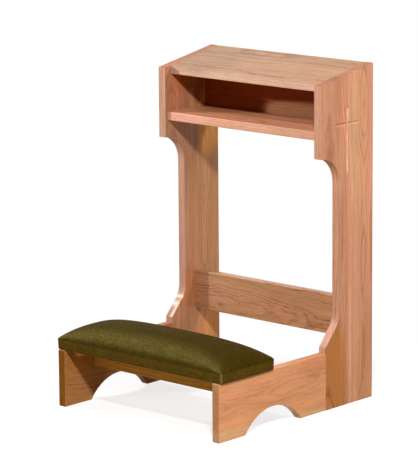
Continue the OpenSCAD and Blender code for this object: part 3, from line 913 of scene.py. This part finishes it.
def makeStaples(low, high, steel):
    # wire staples through the border into the board
    random.seed(11)
    width, wire, leg = staple["width"], staple["wire"], staple["leg"]
    halfX, halfY = high.x - staple["inset"], (high.y - low.y) / 2 - staple["inset"]
    middleY = (high.y + low.y) / 2
    spots = []
    for side in (-1, 1):
        count = int(2 * halfX / staple["pitch"])
        spots += [(-halfX + 2 * halfX * (i + 0.5) / count, middleY + side * halfY, 0) for i in range(count)]
        count = int(2 * halfY / staple["pitch"])
        spots += [(side * halfX, middleY - halfY + 2 * halfY * (i + 0.5) / count, 90) for i in range(count)]
    bm = bmesh.new()
    for x, y, turn in spots:
        angle = math.radians(turn + random.uniform(-staple["skew"], staple["skew"]))
        jitter = random.uniform(-1.5, 1.5) * mm
        for size, offset in (((width, wire * 1.6, wire), (0, 0, wire / 2)),
                             ((wire, wire * 1.6, leg), (-width / 2 + wire / 2, 0, leg / 2)),
                             ((wire, wire * 1.6, leg), (width / 2 - wire / 2, 0, leg / 2))):
            made = bmesh.ops.create_cube(bm, size=1.0)["verts"]
            bmesh.ops.scale(bm, vec=size, verts=made)
            bmesh.ops.translate(bm, vec=offset, verts=made)
            bmesh.ops.rotate(bm, matrix=Matrix.Rotation(angle, 3, "Z"), verts=made)
            bmesh.ops.translate(bm, vec=(x + jitter, y + jitter, low.z), verts=made)
    piece = meshPiece("pad_staples", bm, steel)
    modify(piece, "BEVEL", width=0.15 * mm, segments=2)
    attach(piece, "root")


# Studio

studio = {
    "middle": (0.0, 0.0, 0.42),
    "world": 0.02,
    "bounce": (0.50, 0.39, 0.17),    # floor colour that the object sees
    "lift": 0.25,                    # keeps the floor's shadow light
    # direction from the middle, distance in metres, width, power in watts, colour
    "lamps": {
        "key": ((0.569, -0.564, 0.599), 3.72, 0.30, 140.0, (1.0, 0.975, 0.92)),
        "side": ((-0.793, -0.400, 0.459), 1.55, 0.09, 18.0, (0.94, 0.98, 1.0)),
        "top": ((-0.658, -0.288, 0.698), 2.6, 0.30, 10.0, (1, 0.95, 1)),
        "rearRight": ((0.71, 0.36, 0.61), 2.8, 0.60, 34.0, (1, 0.93, 0.76)),
        "behind": ((-0.658, 0.607, 0.444), 3.0, 1.20, 4.5, (1, 1, 1)),
    },
}
view = {
    "pixelsWide": 418, "focalPixels": 2781.89, "sensor": 36.0,
    "azimuth": 42.176, "elevation": 11.512, "roll": -0.449,
    "place": (4.4916, -4.9794, 1.7979),
}


def makeCamera():
    az, el, roll = (math.radians(view[k]) for k in ("azimuth", "elevation", "roll"))
    back = Vector((math.sin(az) * math.cos(el), -math.cos(az) * math.cos(el), math.sin(el)))
    right = Vector((math.cos(az), math.sin(az), 0))
    up = back.cross(right)
    turned = right * math.cos(roll) + up * math.sin(roll)
    raised = up * math.cos(roll) - right * math.sin(roll)
    camera = bpy.data.objects.new("camera", bpy.data.cameras.new("camera"))
    camera.data.sensor_fit = "HORIZONTAL"
    camera.data.sensor_width = view["sensor"]
    camera.data.lens = view["focalPixels"] * view["sensor"] / view["pixelsWide"]
    camera.data.clip_end = 200
    scene.collection.objects.link(camera)
    turn = Matrix((turned, raised, back)).transposed().to_4x4()
    camera.matrix_world = Matrix.Translation(view["place"]) @ turn
    scene.camera = camera


def lamp(name, toward, away, size, power, colour):
    data = bpy.data.lights.new(name, "AREA")
    data.shape = "DISK"
    data.size = size
    data.energy = power
    data.color = colour
    made = bpy.data.objects.new(name, data)
    scene.collection.objects.link(made)
    direction = Vector(toward).normalized()
    made.matrix_world = (Matrix.Translation(Vector(studio["middle"]) + direction * away)
                         @ direction.to_track_quat("Z", "Y").to_matrix().to_4x4())


def floorLook():
    # white to the eye with a light shadow, and a plain warm grey to the light that bounces off it
    f = Finish("white_floor")
    x, y, z = f.axes()
    grain = f.noise(f.vector(x, y, z), scale=60, detail=3.0)
    f.set(baseColor=f.tone(studio["bounce"], grain * 0.06 + 0.97), roughness=0.85, specularIorLevel=0.1)
    path = f.node("LightPath", None, None, "Is Camera Ray")
    rays = path.socket.node.outputs
    mirrored = Flow(f, rays["Is Glossy Ray"]).math("MAXIMUM", Flow(f, rays["Is Transmission Ray"]))
    away = (x * x + y * y).math("SQRT").rise(0.35, 1.0) * 0.30 + 0.70
    white = f.node("Emission", None, {"Color": (1, 1, 1), "Strength": 1.0})
    pale = f.node("BsdfDiffuse", None, {"Color": (0.96, 0.96, 0.96)})
    lift = f.node("Emission", None, {"Color": (1, 1, 1), "Strength": studio["lift"]})
    lit = f.node("AddShader", None, {0: pale, 1: lift})
    near = f.node("MixShader", None, {0: path, 1: Flow(f, f.surface.outputs[0]), 2: lit})
    shown = f.node("MixShader", None, {0: (path * away).math("MAXIMUM", mirrored), 1: near, 2: white})
    f.plug(f.output.inputs["Surface"], shown)
    return f.material


def makeStudio():
    s = studio
    for name, (toward, away, size, power, colour) in s["lamps"].items():
        lamp(name, toward, away, size, power, colour)
    world = bpy.data.worlds.new("studio")
    scene.world = world
    world.use_nodes = True
    tree = world.node_tree
    soft = tree.nodes["Background"]
    soft.inputs["Strength"].default_value = s["world"]
    soft.inputs["Color"].default_value = (1, 1, 1, 1)
    plainWhite = tree.nodes.new("ShaderNodeBackground")
    path = tree.nodes.new("ShaderNodeLightPath")
    choice = tree.nodes.new("ShaderNodeMixShader")
    shown = path.outputs["Is Camera Ray"]
    for kind in ("Is Glossy Ray", "Is Transmission Ray"):
        either = tree.nodes.new("ShaderNodeMath")
        either.operation = "MAXIMUM"
        tree.links.new(shown, either.inputs[0])
        tree.links.new(path.outputs[kind], either.inputs[1])
        shown = either.outputs[0]
    tree.links.new(shown, choice.inputs[0])
    tree.links.new(soft.outputs[0], choice.inputs[1])
    tree.links.new(plainWhite.outputs[0], choice.inputs[2])
    plainWhite.inputs["Color"].default_value = (1, 1, 1, 1)
    tree.links.new(choice.outputs[0], tree.nodes["World Output"].inputs[0])
    bm = bmesh.new()
    bmesh.ops.create_grid(bm, x_segments=8, y_segments=8, size=30)
    floor = meshPiece("floor", bm, floorLook())
    scene.view_settings.view_transform = "Standard"


makeCamera()
print("camera set")
dressBoards()
print("boards dressed")
steel = zincLook()
makeScrews(steel)
for nodeName in nodes:
    if nodeName.endswith("dowels"):
        nodes[nodeName].material_slots[0].material = beechLook()
boardLow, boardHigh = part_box("pad_board")
nodes["pad_board"].material_slots[0].material = birchLook(boardLow.z, boardHigh.z)
print("fasteners and plywood made")
padLow, padHigh = makePad()
makeStaples(padLow, padHigh, steel)
print("pad made")
makeStudio()
print("studio lit")
